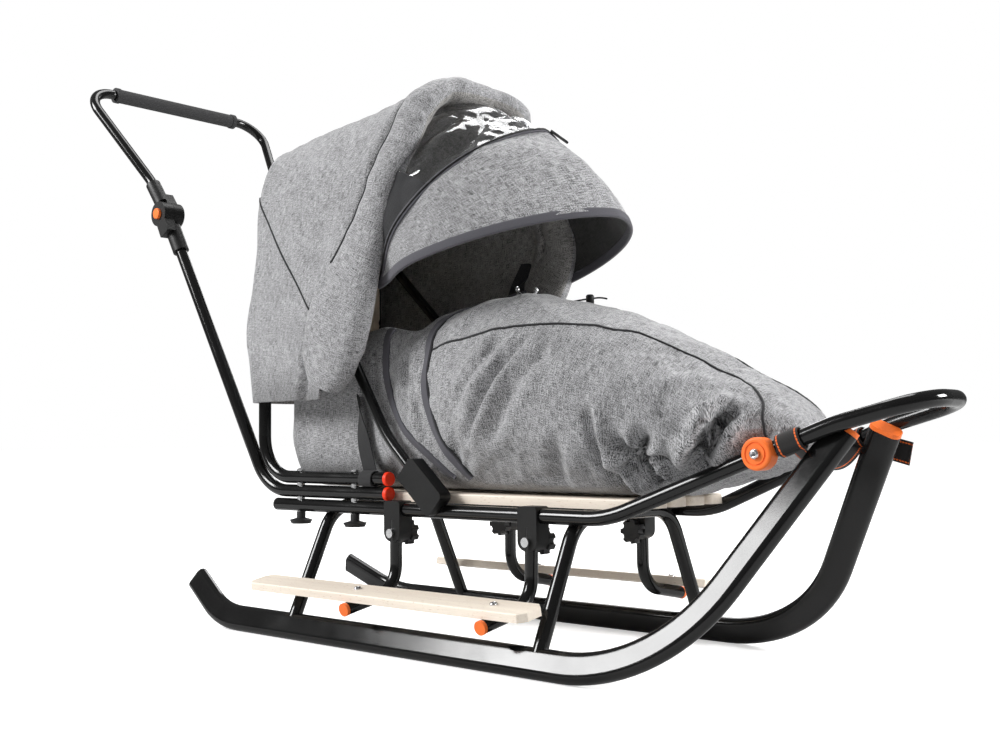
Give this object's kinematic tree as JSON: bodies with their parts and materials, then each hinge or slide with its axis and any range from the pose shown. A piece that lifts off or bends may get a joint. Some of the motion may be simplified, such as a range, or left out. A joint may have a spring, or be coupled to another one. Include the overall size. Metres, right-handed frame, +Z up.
{
  "type": "push sled with backrest, hood and footmuff",
  "caption": "Child's push sled on steel runners with slatted seat, footboards, backrest frame, fabric hood with visor, padded footmuff and folding push handle.",
  "frame": {"origin": "on the floor, below the middle of the overall length and width", "axes": "+X forward to the tow loop, +Y to the sled's left, +Z up"},
  "size_m": [1.566, 0.4578, 0.9747],
  "materials": {
    "black_steel": "satin powder coat",
    "black_plastic": "moulded",
    "orange_plastic": "moulded",
    "red_plastic": "moulded",
    "beech": "planed and oiled",
    "foam_grip": "foam",
    "grey_fabric": "melange weave",
    "cream_fleece": "short-pile fleece",
    "clear_film": "clear flexible film",
    "webbing": "woven webbing"
  },
  "bodies": {
    "root": {"backrest_brace_left": "black_steel", "backrest_brace_right": "black_steel", "backrest_pad": "cream_fleece", "backrest_tube": "black_steel", "brace_socket_left": "black_plastic", "brace_socket_right": "black_plastic", "footboard_left": "beech", "footboard_right": "beech", "footmuff": "grey_fabric", "front_arch": "black_steel", "hanger_caps": "orange_plastic", "hanger_clamps_left": "black_plastic", "hanger_clamps_right": "black_plastic", "hangers_left": "black_steel", "hangers_right": "black_steel", "hinge_base_left": "black_plastic", "hinge_base_right": "black_plastic", "hinge_button_left": "orange_plastic", "hinge_button_right": "orange_plastic", "hood_roll": "grey_fabric", "hood_shell": "grey_fabric", "push_tube_left": "black_steel", "push_tube_right": "black_steel", "rear_arch": "black_steel", "runner_left": "black_steel", "runner_nose_caps": "orange_plastic", "runner_right": "black_steel", "runner_tail_plugs": "black_plastic", "seat_slats": "beech", "seat_tube": "black_steel", "seat_tube_plugs": "black_plastic", "side_strap_left": "webbing", "side_strap_right": "webbing", "stack_bolts_left": "black_steel", "stack_bolts_right": "black_steel", "stack_caps_left": "red_plastic", "stack_caps_right": "red_plastic", "star_knobs_left": "black_plastic", "star_knobs_right": "black_plastic", "strap_disc_left": "orange_plastic", "strap_disc_right": "orange_plastic", "tow_strap": "webbing", "visor": "grey_fabric", "window": "clear_film"},
    "handle": {"handle_grip": "foam_grip", "handle_tube": "black_steel", "hinge_arm_left": "black_plastic", "hinge_arm_right": "black_plastic"}
  },
  "joints": [
    {"name": "handle_fold", "type": "hinge", "parent": "root", "child": "handle", "pos_m": [-0.566, 0, 0.701], "axis": [0, 1, 0], "range_deg": [-75, 100]}
  ]
}
